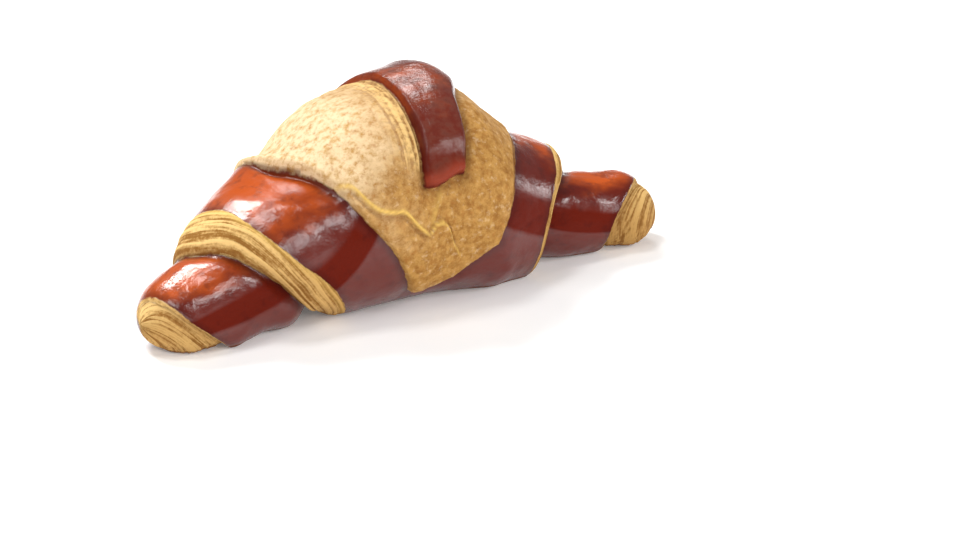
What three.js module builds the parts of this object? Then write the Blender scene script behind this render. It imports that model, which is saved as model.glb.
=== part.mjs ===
// A whole two-colour croissant, baked as one piece and lying on its flat underside.
// +X runs along the roll, -Y is the front, +Z is up. Millimetres. The floor is z = 0.
// The skin is one closed surface: a rounded section carried along a bowed spine, with the
// rolled dough sheet laid on it as turns that overlap like a screw thread from both ends.
// A turn angle of 0 is the front, 90 the top, 180 the back and 270 the underside, in degrees.
import * as THREE from 'three';

// ---- the roll as a whole ----
const LEFT_END = -76.5;
const RIGHT_END = 74.5;
const END_ROUNDING = 11;          // length of the rounded nose at each end
const WIDTH_TO_HEIGHT = 1.1;      // the section is this much wider than high
const SECTION_POWER = 2.15;       // 2 is an ellipse, more is squarer
const SPINE_BACK = 4.5;           // the middle sits this far behind the ends' chord
const SPINE_BOW = 10;             // how far the ends bend to the front
const SPINE_BOW_END = 66;         // past this the spine runs straight
const FLOOR_SOFTNESS = 0.6;       // rounding where the skin meets the floor

// Height of the spine above the floor along the roll: [x, height].
const SPINE_HEIGHT = [
  [-76, 7.8], [-66, 9], [-58, 11], [-48, 13.6], [-38, 16.6], [-28, 20.2], [-18, 23.2], [-8, 25],
  [4, 25.4], [14, 24.2], [22, 20.8], [30, 17], [38, 14], [48, 11], [58, 9.2], [66, 8.8], [76, 7.8],
];

// Radius of the innermost dough under all the turns, measured upwards: [x, radius].
const CORE_RADIUS = [
  [-76, 8.6], [-66, 9.2], [-60, 10.6], [-54, 12.2], [-46, 13.6], [-38, 14.6], [-30, 15.4], [-22, 17.2],
  [-14, 18.6], [-5, 19], [5, 18.9], [12, 19.4], [18, 19], [24, 16.4], [30, 14.2], [36, 12.6],
  [44, 11.8], [52, 10.4], [58, 9.6], [66, 9.6], [76, 8.8],
];

// ---- the rolled sheet ----
// Turns are counted from the first edge seen at the left end; whole numbers are at the top.
// Shoulder of the sheet's left edge: [turns, x].
const LEFT_EDGE = [
  [-0.5, -84], [-0.25, -78], [0, -73.6], [0.1, -72], [0.2, -68.4], [0.26, -65.2], [0.31, -61.7],
  [0.36, -57.8], [0.42, -55], [0.5, -53.8], [0.65, -53.8], [0.8, -54.6], [0.9, -54.2], [1, -51.2],
  [1.076, -49], [1.133, -45.6], [1.196, -40], [1.274, -32.3], [1.36, -25.6], [1.43, -22], [1.5, -21],
  [1.62, -25], [1.75, -33], [1.87, -36.5], [1.95, -35], [2.02, -32], [2.09, -28.2], [2.19, -21],
  [2.27, -13.2], [2.34, -8], [2.5, 0],
];
// Shoulder of the sheet's right edge: [turns, x].
const RIGHT_EDGE = [
  [-0.5, 84], [-0.25, 78], [0, 69.5], [0.11, 63.2], [0.21, 58.2], [0.31, 55.4], [0.4, 54.4], [0.5, 54],
  [0.7, 53.4], [0.85, 50], [1, 45.6], [1.09, 41.9], [1.126, 39.8], [1.176, 36.3], [1.211, 34.5],
  [1.275, 32.5], [1.36, 31.2], [1.5, 30.6], [1.7, 32.6], [1.85, 33.5], [2, 31.4], [2.074, 28],
  [2.147, 22.9], [2.205, 19.3], [2.254, 16.4], [2.3, 14], [2.36, 12.4], [2.5, 10],
];
// Thickness of the sheet along the turns, and the width of its sloping cut edges: [turns, mm].
const SHEET_THICKNESS = [
  [-0.5, 0], [-0.2, 0.4], [0, 0.9], [0.3, 1.2], [0.5, 1.7], [0.75, 3.5], [0.95, 5.2], [1.2, 5.4],
  [1.45, 5], [1.7, 3.2], [1.85, 1.5], [1.95, 1], [2.1, 1], [2.3, 1.2], [2.5, 1.3],
];
const LEFT_SLOPE = [
  [-0.5, 1], [0.4, 1], [0.6, 5], [0.85, 7.4], [1, 7.8], [1.06, 6.4], [1.1, 5.6], [1.15, 6], [1.2, 6.8],
  [1.25, 8], [1.3, 9], [1.5, 8], [1.7, 4], [1.86, 1.3], [2.1, 1.1], [2.5, 1.4],
];
const RIGHT_SLOPE = [
  [-0.5, 1], [0.4, 1], [0.8, 4], [1, 4], [1.1, 3], [1.2, 2.1], [1.5, 2.4], [1.8, 2], [2, 1.1],
  [2.5, 1.1],
];
const GROOVE_DEPTH = 1.1;         // the dough dips in front of the next edge
const GROOVE_REACH = 3.2;
const OUTER_TURNS = [0, 1, 2];

// The outer turn ends low on the front in a blunt tongue: [x, turn angle of its end].
const TONGUE_END = [
  [-30, -44], [-9, -39.5], [-4, -38.5], [3.5, -32.5], [9, -23], [14, -15], [20, -5], [40, 20],
];
const TONGUE_LIP = 5;             // degrees over which the tongue's end drops

// ---- the tail strip over the top ----
const TAIL_THICKNESS = 1.7;
const TAIL_PILLOW = 1.2;          // how much thicker the strip is along its middle
const TAIL_EDGE = 1.8;            // rounding of its edges
const TAIL_LEFT = [
  [18, -5.9], [26, -5.4], [40, -4.2], [51, -3.3], [67, -2.4], [88, -1.2], [105, -1.3], [118, -2.4],
  [127, -4.4], [140, -6], [240, -10],
];
const TAIL_RIGHT = [
  [18, 5.4], [28, 6.4], [36, 8], [48, 9.8], [63, 12], [70, 13.4], [78, 15.6], [90, 18.4], [125, 19.6],
  [160, 17], [240, 14],
];
const TAIL_FRONT_END = 23.6;      // turn angle of the strip's free end where x is 0
const TAIL_END_SKEW = 0.22;       // degrees of turn per mm along that end
const TAIL_BACK_START = 236;      // where it comes out from under the roll

// ---- the raised fold on the left lobe of the pale middle ----
const FOLD_HEIGHT = 1.5;
const FOLD_LINE = [[-30, 44], [-24, 38], [-19, 22], [-12, 12], [-6, -3]];

// ---- where the roll departs from its even section: [x, mm] ----
// flatter over its top and back:
const BACK_TRIM = [
  [-70, 0], [-62, -0.6], [-57, 0.7], [-50, 0.5], [-42, -0.3], [-38, -1.3], [-34, 0.8], [-31, 1.4],
  [-25, 0], [-18, -0.4], [-8, 0.5], [0, 0], [6, -0.2], [12, -1.1], [20, -0.9], [30, 0],
];
// fuller at its foot on the front:
const FOOT_BULGE = [
  [-74, 0], [-64, 1.8], [-56, 2.4], [-46, 1.4], [-38, 3], [-30, 0.8], [-18, 0.6], [-4, 1.6], [6, 1.6],
  [20, 0.6], [36, 0],
];

// ---- laminated layers on the cut edges ----
const LAYER_PITCH = 2.1;
const LAYER_RELIEF = 0.3;
const NOSE_LAYER_TILT = 0.9;      // the layers at each end lie in tilted planes

// ---- slow unevenness of hand-rolled dough: [mm, waves per mm along x, waves round, phase] ----
const UNEVENNESS = [[0.35, 0.021, 2, 0.6], [0.28, 0.047, 3, 2.1], [0.2, 0.083, 1, 4.0], [0.14, 0.12, 4, 1.2]];

// ---- mesh ----
const COLUMNS = 54;
// Row lines lean with the edges: [x in the middle of the height, lean at the top].
const ROW_LEAN = [
  [-75, 0], [-71, 2], [-65, 6], [-50, 12], [-37, 14.5], [-17, 15], [2, 1.6], [18, -10], [36, -9], [56, -6.5],
  [64, -4], [70, -1], [73, 0],
];
const ROW_LEAN_PHASE = 8;         // degrees behind the top where the lean is greatest
// Rows between successive stations: [x of the station, rows up to the next one].
const ROW_STATIONS = [
  [-66, 10], [-48, 12], [-36, 9], [-20, 6], [-13, 9], [2, 9], [14, 6], [20, 8], [34, 6], [40, 10], [66, 0],
];
const NOSE_ROWS = 8;

const RADIANS = Math.PI / 180;

// A smooth line through the given points, flat beyond the first and last.
function through(points) {
  const last = points.length - 1;
  const slopes = points.map((point, i) => {
    const before = points[Math.max(i - 1, 0)];
    const after = points[Math.min(i + 1, last)];
    return (after[1] - before[1]) / (after[0] - before[0]);
  });
  return (at) => {
    if (at <= points[0][0]) return points[0][1];
    if (at >= points[last][0]) return points[last][1];
    let i = 0;
    while (at > points[i + 1][0]) i += 1;
    const span = points[i + 1][0] - points[i][0];
    const s = (at - points[i][0]) / span;
    const a = points[i][1] * (1 + 2 * s) * (1 - s) * (1 - s);
    const b = points[i + 1][1] * s * s * (3 - 2 * s);
    const c = slopes[i] * span * s * (1 - s) * (1 - s);
    const d = slopes[i + 1] * span * s * s * (s - 1);
    return a + b + c + d;
  };
}

const spineHeight = through(SPINE_HEIGHT);
const coreRadius = through(CORE_RADIUS);
const leftEdge = through(LEFT_EDGE);
const rightEdge = through(RIGHT_EDGE);
const sheetThickness = through(SHEET_THICKNESS);
const leftSlope = through(LEFT_SLOPE);
const rightSlope = through(RIGHT_SLOPE);
const tongueEnd = through(TONGUE_END);
const tailLeft = through(TAIL_LEFT);
const tailRight = through(TAIL_RIGHT);
const foldLine = through(FOLD_LINE);
const backTrim = through(BACK_TRIM);
const footBulge = through(FOOT_BULGE);
const rowLean = through(ROW_LEAN);

function limit(value) {
  return Math.min(Math.max(value, 0), 1);
}

function blend(from, to, value) {
  const s = limit((value - from) / (to - from));
  return s * s * (3 - 2 * s);
}

// A cut edge: steep at its foot (0), rounding over to its shoulder (1).
function shoulder(value) {
  const s = limit(value);
  return Math.sin((Math.PI / 2) * s);
}

function spineAside(x) {
  const reach = Math.min(Math.abs(x) / SPINE_BOW_END, 1);
  return SPINE_BACK - SPINE_BOW * reach * reach;
}

// Radius of the rounded nose at each end, as a fraction of the full section.
function noseFraction(x) {
  const end = x < 0 ? -LEFT_END : RIGHT_END;
  const past = (Math.abs(x) - (end - END_ROUNDING)) / END_ROUNDING;
  return past <= 0 ? 1 : Math.sqrt(Math.max(1 - past * past, 0));
}

// Ridges of the laminated layers: 0 in the grooves, 1 on the crests.
function layerRidge(phase) {
  return Math.abs(Math.sin(Math.PI * phase));
}

// Height that one turn of the sheet adds at a place.
function turnHeight(turns, x, angle, isOutermost) {
  const thickness = sheetThickness(turns);
  const fromLeft = (x - (leftEdge(turns) - leftSlope(turns))) / leftSlope(turns);
  const fromRight = ((rightEdge(turns) + rightSlope(turns)) - x) / rightSlope(turns);
  const rise = shoulder(fromLeft) * shoulder(fromRight);
  let covered = rise;
  if (isOutermost && angle < 60) {
    covered *= blend(tongueEnd(x) - TONGUE_LIP, tongueEnd(x), angle);
  }
  const outLeft = Math.max(-fromLeft * leftSlope(turns), 0);
  const outRight = Math.max(-fromRight * rightSlope(turns), 0);
  const away = Math.max(outLeft, outRight) / GROOVE_REACH;
  const groove = rise > 0 ? 0 : GROOVE_DEPTH * limit(thickness / 2) * Math.exp(-away * away);
  let ridges = 0;
  for (const [along, slope] of [[fromLeft, leftSlope(turns)], [fromRight, rightSlope(turns)]]) {
    if (along > 0 && along < 1 && slope > LAYER_PITCH * 1.4) {
      ridges += LAYER_RELIEF * layerRidge((along * slope) / LAYER_PITCH) * Math.sin(Math.PI * along);
    }
  }
  return thickness * covered - groove * blend(0, 0.05, 1 - rise) + ridges;
}

// Thickness of the tail strip at a place.
function tailHeight(x, angle) {
  const inLeft = (x - tailLeft(angle)) / TAIL_EDGE;
  const inRight = (tailRight(angle) - x) / TAIL_EDGE;
  const inEnd = ((angle - TAIL_FRONT_END - TAIL_END_SKEW * x) * 0.45) / TAIL_EDGE;
  const inStart = ((TAIL_BACK_START - angle) * 0.45) / (TAIL_EDGE * 4);
  const across = limit((x - tailLeft(angle)) / (tailRight(angle) - tailLeft(angle)));
  const thickness = TAIL_THICKNESS + TAIL_PILLOW * Math.sin(Math.PI * across);
  return thickness * shoulder(inLeft) * shoulder(inRight) * shoulder(inEnd) * shoulder(inStart);
}

// The raised fold of the left lobe, above its lower front edge.
function foldHeight(x, angle) {
  if (angle > 150 || x < -30 || x > 0) return 0;
  const above = angle - foldLine(x);
  const faded = 1 - blend(45, 100, angle);
  const sides = blend(-30, -22, x) * (1 - blend(-8, -1, x));
  return FOLD_HEIGHT * shoulder(above / 5) * faded * sides;
}

function unevenness(x, angle) {
  let sum = 0;
  for (const [size, along, round, phase] of UNEVENNESS) {
    sum += size * Math.sin(2 * Math.PI * along * x + phase) * Math.cos(round * angle * RADIANS + phase * 1.7);
  }
  return sum;
}

// Layers seen on the two noses, in planes that lean like the first edge.
function noseLayers(x, height) {
  const nose = blend(58, 70, Math.abs(x));
  return nose * LAYER_RELIEF * layerRidge((Math.abs(x) + NOSE_LAYER_TILT * height) / LAYER_PITCH);
}

function radiusAt(x, angle) {
  const fraction = (90 - angle) / 360;
  let radius = coreRadius(x);
  for (const turn of OUTER_TURNS) {
    radius += turnHeight(turn + fraction, x, angle, turn === 2);
  }
  radius += tailHeight(x, angle) + foldHeight(x, angle) + unevenness(x, angle);
  radius -= backTrim(x) * blend(62, 112, angle) * (1 - blend(190, 250, angle));
  radius += footBulge(x) * blend(4, 38, -angle) * (1 - blend(62, 88, -angle));
  return radius;
}

// The skin's point at a distance x along the roll and a turn angle round it.
function skin(x, angle) {
  const cosine = Math.cos(angle * RADIANS);
  const sine = Math.sin(angle * RADIANS);
  const rounding = Math.pow(
    Math.pow(Math.abs(cosine), SECTION_POWER) + Math.pow(Math.abs(sine), SECTION_POWER),
    -1 / SECTION_POWER,
  );
  const nose = noseFraction(x);
  const reach = radiusAt(x, angle) * nose * rounding;
  const rough = spineHeight(x) + reach * sine;
  const layered = reach + noseLayers(x, rough) * nose;
  const y = spineAside(x) - WIDTH_TO_HEIGHT * layered * cosine;
  let z = spineHeight(x) + layered * sine;
  if (z < -FLOOR_SOFTNESS) {
    z = 0;
  } else if (z < FLOOR_SOFTNESS) {
    z = ((z + FLOOR_SOFTNESS) * (z + FLOOR_SOFTNESS)) / (4 * FLOOR_SOFTNESS);
  }
  return [x, y, z];
}

// Stations of the mesh rows along the roll, without the two end points.
function rowStations() {
  const rows = [];
  const leftLength = ROW_STATIONS[0][0] - LEFT_END;
  const rightLength = RIGHT_END - ROW_STATIONS[ROW_STATIONS.length - 1][0];
  for (let i = 1; i < NOSE_ROWS; i += 1) {
    rows.push(LEFT_END + leftLength * (1 - Math.cos((i / NOSE_ROWS) * (Math.PI / 2))));
  }
  for (let s = 0; s < ROW_STATIONS.length - 1; s += 1) {
    const [from, count] = ROW_STATIONS[s];
    const to = ROW_STATIONS[s + 1][0];
    for (let i = 0; i < count; i += 1) {
      rows.push(from + ((to - from) * i) / count);
    }
  }
  for (let i = NOSE_ROWS; i > 0; i -= 1) {
    rows.push(RIGHT_END - rightLength * (1 - Math.cos((i / NOSE_ROWS) * (Math.PI / 2))));
  }
  return rows;
}

// The whole closed skin, moved so that the middle of its footprint is the origin.
function croissantGeometry() {
  const rows = rowStations();
  const positions = [];
  const radii = [];
  const faces = [];
  for (const station of rows) {
    for (let column = 0; column < COLUMNS; column += 1) {
      const angle = -90 + (360 * column) / COLUMNS;
      const lean = rowLean(station) * Math.sin((angle - ROW_LEAN_PHASE) * RADIANS);
      positions.push(...skin(station - lean, angle));
      radii.push(radiusAt(station - lean, angle));
    }
  }
  const leftPole = positions.length / 3;
  positions.push(LEFT_END, spineAside(LEFT_END), spineHeight(LEFT_END));
  const rightPole = leftPole + 1;
  positions.push(RIGHT_END, spineAside(RIGHT_END), spineHeight(RIGHT_END));
  // Each four-cornered patch is folded along the diagonal that follows the edges of the turns.
  for (let row = 0; row < rows.length - 1; row += 1) {
    for (let column = 0; column < COLUMNS; column += 1) {
      const next = (column + 1) % COLUMNS;
      const a = row * COLUMNS + column;
      const b = row * COLUMNS + next;
      const c = (row + 1) * COLUMNS + next;
      const d = (row + 1) * COLUMNS + column;
      if (Math.abs(radii[a] - radii[c]) < Math.abs(radii[b] - radii[d])) {
        faces.push(a, c, b, a, d, c);
      } else {
        faces.push(a, d, b, b, d, c);
      }
    }
  }
  const lastRow = (rows.length - 1) * COLUMNS;
  for (let column = 0; column < COLUMNS; column += 1) {
    const next = (column + 1) % COLUMNS;
    faces.push(leftPole, column, next);
    faces.push(rightPole, lastRow + next, lastRow + column);
  }
  const geometry = new THREE.BufferGeometry();
  geometry.setAttribute('position', new THREE.Float32BufferAttribute(positions, 3));
  geometry.setIndex(faces);
  geometry.computeBoundingBox();
  const middle = geometry.boundingBox.getCenter(new THREE.Vector3());
  geometry.translate(-middle.x, -middle.y, 0);
  geometry.computeVertexNormals();
  return geometry;
}

const crust = new THREE.MeshStandardMaterial({ color: 0xc88a4a, roughness: 0.6, metalness: 0 });
const croissant = new THREE.Mesh(croissantGeometry(), crust);
croissant.name = 'croissant';

const group = new THREE.Group();
group.name = 'croissant_assembly';
group.add(croissant);

export default group;
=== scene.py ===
# A whole two-colour croissant on a plain pale floor, in soft studio light.
# The skin is one mesh: a rounded section carried along a bowed spine, with the rolled sheet of
# dough laid on it in turns. Lengths in the tables are millimetres; the scene is in metres.
# Turn angles are degrees: 0 is the front, 90 the top, 180 the back and 270 the underside.
import math

import bpy
import numpy as np
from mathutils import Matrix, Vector, noise


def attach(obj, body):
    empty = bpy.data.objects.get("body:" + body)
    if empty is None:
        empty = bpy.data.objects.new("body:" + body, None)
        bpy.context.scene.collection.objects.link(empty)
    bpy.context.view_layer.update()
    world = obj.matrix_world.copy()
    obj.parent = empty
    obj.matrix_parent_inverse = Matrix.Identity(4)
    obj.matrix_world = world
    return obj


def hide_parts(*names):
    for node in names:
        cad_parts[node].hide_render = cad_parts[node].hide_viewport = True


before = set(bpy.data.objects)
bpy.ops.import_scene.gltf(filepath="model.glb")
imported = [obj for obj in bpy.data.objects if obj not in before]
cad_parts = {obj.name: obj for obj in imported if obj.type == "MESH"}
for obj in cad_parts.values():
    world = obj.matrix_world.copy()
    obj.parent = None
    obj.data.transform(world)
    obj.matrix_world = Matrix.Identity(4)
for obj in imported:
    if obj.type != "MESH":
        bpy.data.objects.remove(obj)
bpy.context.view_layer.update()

# ---- the roll as a whole ----
LEFT_END = -76.5
RIGHT_END = 74.5
ORIGIN_X = -1.0                   # the part's origin, in the tables' own coordinates
ORIGIN_Y = 5.225
END_ROUNDING = 11.0
WIDTH_TO_HEIGHT = 1.1
SECTION_POWER = 2.15
SPINE_BACK = 4.5
SPINE_BOW = 10.0
SPINE_BOW_END = 66.0
FLOOR_SOFTNESS = 0.6

# Height of the spine above the floor: [x, height].
SPINE_HEIGHT = [
    (-76, 7.8), (-66, 9), (-58, 11), (-48, 13.6), (-38, 16.6), (-28, 20.2), (-18, 23.2),
    (-8, 25), (4, 25.4), (14, 24.2), (22, 20.8), (30, 17), (38, 14), (48, 11), (58, 9.2),
    (66, 8.8), (76, 7.8),
]
# Radius of the innermost dough: [x, radius].
CORE_RADIUS = [
    (-76, 8.6), (-66, 9.2), (-60, 10.6), (-54, 12.2), (-46, 13.6), (-38, 14.6), (-30, 15.4),
    (-22, 17.2), (-14, 18.6), (-5, 19), (5, 18.9), (12, 19.4), (18, 19), (24, 16.4),
    (30, 14.2), (36, 12.6), (44, 11.8), (52, 10.4), (58, 9.6), (66, 9.6), (76, 8.8),
]
# Shoulder of the sheet's left edge, in turns counted from the left end: [turns, x].
LEFT_EDGE = [
    (-0.5, -84), (-0.25, -78), (0, -73.6), (0.1, -72), (0.2, -68.4), (0.26, -65.2),
    (0.31, -61.7), (0.36, -57.8), (0.42, -55), (0.5, -53.8), (0.65, -53.8), (0.8, -54.6),
    (0.9, -54.2), (1, -51.2), (1.076, -49), (1.133, -45.6), (1.196, -40), (1.274, -32.3),
    (1.36, -25.6), (1.43, -22), (1.5, -21), (1.62, -25),
    (1.75, -33), (1.87, -36.5), (1.95, -35), (2.02, -32), (2.09, -28.2), (2.19, -21),
    (2.27, -13.2), (2.34, -8), (2.5, 0),
]
# Shoulder of its right edge: [turns, x].
RIGHT_EDGE = [
    (-0.5, 84), (-0.25, 78), (0, 69.5), (0.11, 63.2), (0.21, 58.2), (0.31, 55.4), (0.4, 54.4),
    (0.5, 54), (0.7, 53.4), (0.85, 50), (1, 45.6), (1.09, 41.9), (1.126, 39.8), (1.176, 36.3),
    (1.211, 34.5), (1.275, 32.5), (1.36, 31.2), (1.5, 30.6), (1.7, 32.6), (1.85, 33.5),
    (2, 31.4), (2.074, 28), (2.147, 22.9), (2.205, 19.3), (2.254, 16.4), (2.3, 14),
    (2.36, 12.4), (2.5, 10),
]
# Thickness of the sheet: [turns, mm].
SHEET_THICKNESS = [
    (-0.5, 0), (-0.2, 0.4), (0, 0.9), (0.3, 1.2), (0.5, 1.7), (0.75, 3.5), (0.95, 5.2),
    (1.2, 5.4), (1.45, 5), (1.7, 3.2), (1.85, 1.5), (1.95, 1), (2.1, 1), (2.3, 1.2), (2.5, 1.3),
]
# Width of the slope outside each edge's shoulder: [turns, mm].
LEFT_SLOPE = [
    (-0.5, 1), (0.4, 1), (0.6, 5), (0.85, 7.4), (1, 7.8), (1.06, 6.4), (1.1, 5.6), (1.15, 6),
    (1.2, 6.8), (1.25, 8), (1.3, 9), (1.5, 8), (1.7, 4), (1.86, 1.3), (2.1, 1.1), (2.5, 1.4),
]
RIGHT_SLOPE = [
    (-0.5, 1), (0.4, 1), (0.8, 4), (1, 4), (1.1, 3), (1.2, 2.1), (1.5, 2.4), (1.8, 2),
    (2, 1.1), (2.5, 1.1),
]
# Turn angle of the outer turn's blunt lower end on the front: [x, angle].
TONGUE_END = [
    (-30, -44), (-9, -39.5), (-4, -38.5), (3.5, -32.5), (9, -23), (14, -15), (20, -5), (40, 20),
]
# Edges of the tail strip that lies over the top: [turn angle, x].
TAIL_LEFT = [
    (18, -5.9), (26, -5.4), (40, -4.2), (51, -3.3), (67, -2.4), (88, -1.2), (105, -1.3),
    (118, -2.4), (127, -4.4), (140, -6), (240, -10),
]
TAIL_RIGHT = [
    (18, 5.4), (28, 6.4), (36, 8), (48, 9.8), (63, 12), (70, 13.4), (78, 15.6), (90, 18.4),
    (125, 19.6), (160, 17), (240, 14),
]
TAIL_THICKNESS = 1.7
TAIL_PILLOW = 1.2                 # how much thicker the strip is along its middle
TAIL_EDGE = 1.6                   # width of the slopes at its sides
TAIL_FRONT_END = 23.6             # turn angle of its free end on the front
TAIL_END_SKEW = 0.22              # degrees of turn per mm along that end
TAIL_BACK_START = 236.0           # turn angle at which it comes out from under the roll
# How much flatter the roll is over its top and back: [x, mm].
BACK_TRIM = [
    (-70, 0), (-62, -0.6), (-57, 0.7), (-50, 0.5), (-42, -0.3), (-38, -1.3), (-34, 0.8),
    (-31, 1.4), (-25, 0), (-18, -0.4), (-8, 0.5), (0, 0), (6, -0.2), (12, -1.1), (20, -0.9),
    (30, 0),
]
# How much fuller its foot is on the front: [x, mm].
FOOT_BULGE = [
    (-74, 0), (-64, 1.8), (-56, 2.4), (-46, 1.4), (-38, 3), (-30, 0.8), (-18, 0.6), (-4, 1.6),
    (6, 1.6), (20, 0.6), (36, 0),
]


def through(points):
    """A smooth line through points, flat beyond the ends, for arrays."""
    px = np.array([p[0] for p in points], float)
    py = np.array([p[1] for p in points], float)
    slope = np.empty_like(py)
    slope[1:-1] = (py[2:] - py[:-2]) / (px[2:] - px[:-2])
    slope[0] = (py[1] - py[0]) / (px[1] - px[0])
    slope[-1] = (py[-1] - py[-2]) / (px[-1] - px[-2])

    def line(at):
        at = np.clip(np.asarray(at, float), px[0], px[-1])
        i = np.clip(np.searchsorted(px, at, side="right") - 1, 0, len(px) - 2)
        span = px[i + 1] - px[i]
        s = (at - px[i]) / span
        start = py[i] * (1 + 2 * s) * (1 - s) ** 2
        stop = py[i + 1] * s * s * (3 - 2 * s)
        lean = slope[i] * span * s * (1 - s) ** 2 + slope[i + 1] * span * s * s * (s - 1)
        return start + stop + lean

    return line


spine_height = through(SPINE_HEIGHT)
core_radius = through(CORE_RADIUS)
left_edge = through(LEFT_EDGE)
right_edge = through(RIGHT_EDGE)
sheet_thickness = through(SHEET_THICKNESS)
left_slope = through(LEFT_SLOPE)
right_slope = through(RIGHT_SLOPE)
tongue_end = through(TONGUE_END)
tail_left = through(TAIL_LEFT)
tail_right = through(TAIL_RIGHT)
back_trim = through(BACK_TRIM)
foot_bulge = through(FOOT_BULGE)


def blend(low, high, value):
    """A smooth step from 0 at low to 1 at high, which may lie on either side of low."""
    s = np.clip((value - low) / (high - low), 0, 1)
    return s * s * (3 - 2 * s)


def cut_edge(value):
    """A cut edge of dough: steep at its foot (0), rounding over to its shoulder (1)."""
    s = np.clip(value, 0, 1)
    return 1 - (1 - s) ** 2.2


def hump(value, middle, width):
    """A smooth hump, 1 at its middle and fading out over a few widths."""
    return np.exp(-(((value - middle) / width) ** 2))


def lumps(points, size, seed, octaves=2):
    """Smooth noise around 0 at each point, with features of about size mm."""
    out = np.empty(len(points))
    shift = Vector((seed * 13.7, seed * 7.1, seed * 3.3))
    for i, p in enumerate(points):
        q = Vector(p) / size + shift
        value = noise.noise(q)
        if octaves > 1:
            value += 0.5 * noise.noise(q * 2.1)
        out[i] = value
    return out


def spine_aside(x):
    """How far back the bowed spine is."""
    reach = np.minimum(np.abs(x) / SPINE_BOW_END, 1)
    return SPINE_BACK - SPINE_BOW * reach * reach


def nose_fraction(x):
    """Share of the radius that is left at x, where the ends round off."""
    end = np.where(x < 0, -LEFT_END, RIGHT_END)
    past = np.maximum((np.abs(x) - (end - END_ROUNDING)) / END_ROUNDING, 0)
    return np.sqrt(np.maximum(1 - past * past, 0))


def section(x, angle, reach):
    """Points of the skin at a distance reach from the spine."""
    cosine = np.cos(np.radians(angle))
    sine = np.sin(np.radians(angle))
    power = SECTION_POWER
    rounding = (np.abs(cosine) ** power + np.abs(sine) ** power) ** (-1 / power)
    full = reach * rounding
    y = spine_aside(x) - WIDTH_TO_HEIGHT * full * cosine
    z = spine_height(x) + full * sine
    return np.stack([x, y, z], -1)


# ---- relief ----
GROOVE_DEPTH = 1.3
GROOVE_REACH = 3.0                # out from an edge of the sheet
GROOVE_INSIDE = 0.5               # in over the edge itself
FULL_THICKNESS = 2.4              # a sheet this thick has the full groove and swell
PUFF_HEIGHT = 0.7                 # how much each band swells away from its edges
PUFF_REACH = 4.5
DEGREE_MM = 0.45                  # a degree of turn is about this long on the middle's skin
TONGUE_SLOPE = 2.4                # length of the slope at the outer turn's lower end
CREVICE_SHADE_REACH = [1.1, 1.1, 2.4]   # how far the painted shade in the crevice beside each turn reaches
WIDE_EDGE = 2.5                   # cut edges wider than this show their laminated layers
LEAF_PITCH = 0.62                 # across the laminated layers
LEAF_LENGTH = 70.0                # along them
LEAF_RELIEF = 0.24
EDGE_WANDER = 0.7                 # the edges of the sheet wander by this much
RIGHT_HEM = 0.8                   # the glaze stops this far inside the middle turn's right edge
HEM_SOFTNESS = 0.5
GLAZED_FROM = 244.0               # from this turn angle on, underneath, the outer turn is glazed
FAR_OUT = -50.0                   # stands for "far outside" in the signed distances

NOSE_FROM = 50.0                  # the noses begin beyond this x, outside the first edges
NOSE_LEAF_PITCH = 0.6
NOSE_RELIEF = 0.20
NOSE_FAN = 0.12                   # how much the layers fan out across a nose
NOSE_LEDGE = 0.7                  # stands for a place between foot and shoulder of a cut edge
# Each edge's strands are read from a place of their own in the strand noise.
EDGE_LEAF = 20.0
NOSE_LEAF = 100.0
TAIL_LEAF = 200.0

LOBE_HEIGHT = 1.3
FLAP_HEIGHT = 0.8

TAIL_WANDER = 0.3
TAIL_END_WAVE = 1.2               # degrees of turn that the strip's free end waves by
TAIL_FRONT_SLOPE = 1.5
TAIL_BACK_SLOPE = 6.4
TAIL_ROLL = 0.5                   # the free end is rolled up by this much
TAIL_HOLLOW = 0.7                 # and hollow behind the roll
TAIL_CREASES = 0.6
TAIL_GROOVE = 0.6                 # the crust dips by this much beside the strip
FLAKE_PITCH = 0.7                 # of the flaky layers at the strip's left edge
FLAKE_REACH = 5.0
FLAKE_LIFT = 0.9
FLAKE_RELIEF = 0.4

BIG_LUMPS = 0.7                   # height of the lumps over the whole roll
GLAZED_LUMPS = [0.2, 0.06]        # medium and small ones on the glazed bands
PALE_LUMPS = [0.24, 0.2]          # and on the dry crust

# The lip of the fold on the pale middle's left lobe: [x, turn angle].
LOBE_FOLD = [
    (-30, 46), (-24, 38.5), (-21, 27), (-18.5, 20), (-15, 15.5), (-12, 13), (-9, 4), (-6, -3),
]
# The small arched flap beside it: [x, turn angle].
FLAP_ARCH = [
    (-7, -5), (-5.6, -0.5), (-4.2, 2.8), (-2.8, 4), (-1, 2.4), (0.3, -2.4), (1.3, -9), (3, -15),
    (5, -20),
]
# A faint ridge from the tail strip's end down to the flap: [turn angle, x].
RIDGE_LINE = [(2, -5), (8, -4.2), (14, -2.8), (22, -1)]
# Below this line the glaze keeps its full shine, and just above it is duller: [x, turn angle].
SHINE_LINE = [
    (-62, -18), (-40, -18), (-34, -22), (-28, -15), (-21, 0), (-16, 10), (-10, 14), (10, 2),
    (20, -5), (60, -10),
]
# The band left of the middle is crested along this line, and sinks to the seam: [turn angle, x].
BAND_CREST = [(30, -31), (51, -37.9), (58, -40.8), (72, -45.3), (92, -48.8), (130, -51)]
CREST_SLOPE = 0.25
CREST_ROUNDING = 2.5
shine_line = through(SHINE_LINE)
band_crest = through(BAND_CREST)
lobe_fold = through(LOBE_FOLD)
flap_arch = through(FLAP_ARCH)
ridge_line = through(RIDGE_LINE)


def leaves(across, along, pitch, seed):
    """Uneven laminated layers, -1 between them to 1 on their crests."""
    zero = np.zeros_like(across)
    spot = np.stack([across / pitch, along / LEAF_LENGTH, zero], -1)
    return np.clip(2.0 * lumps(spot, 1.0, seed, 1), -1, 1)


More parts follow.
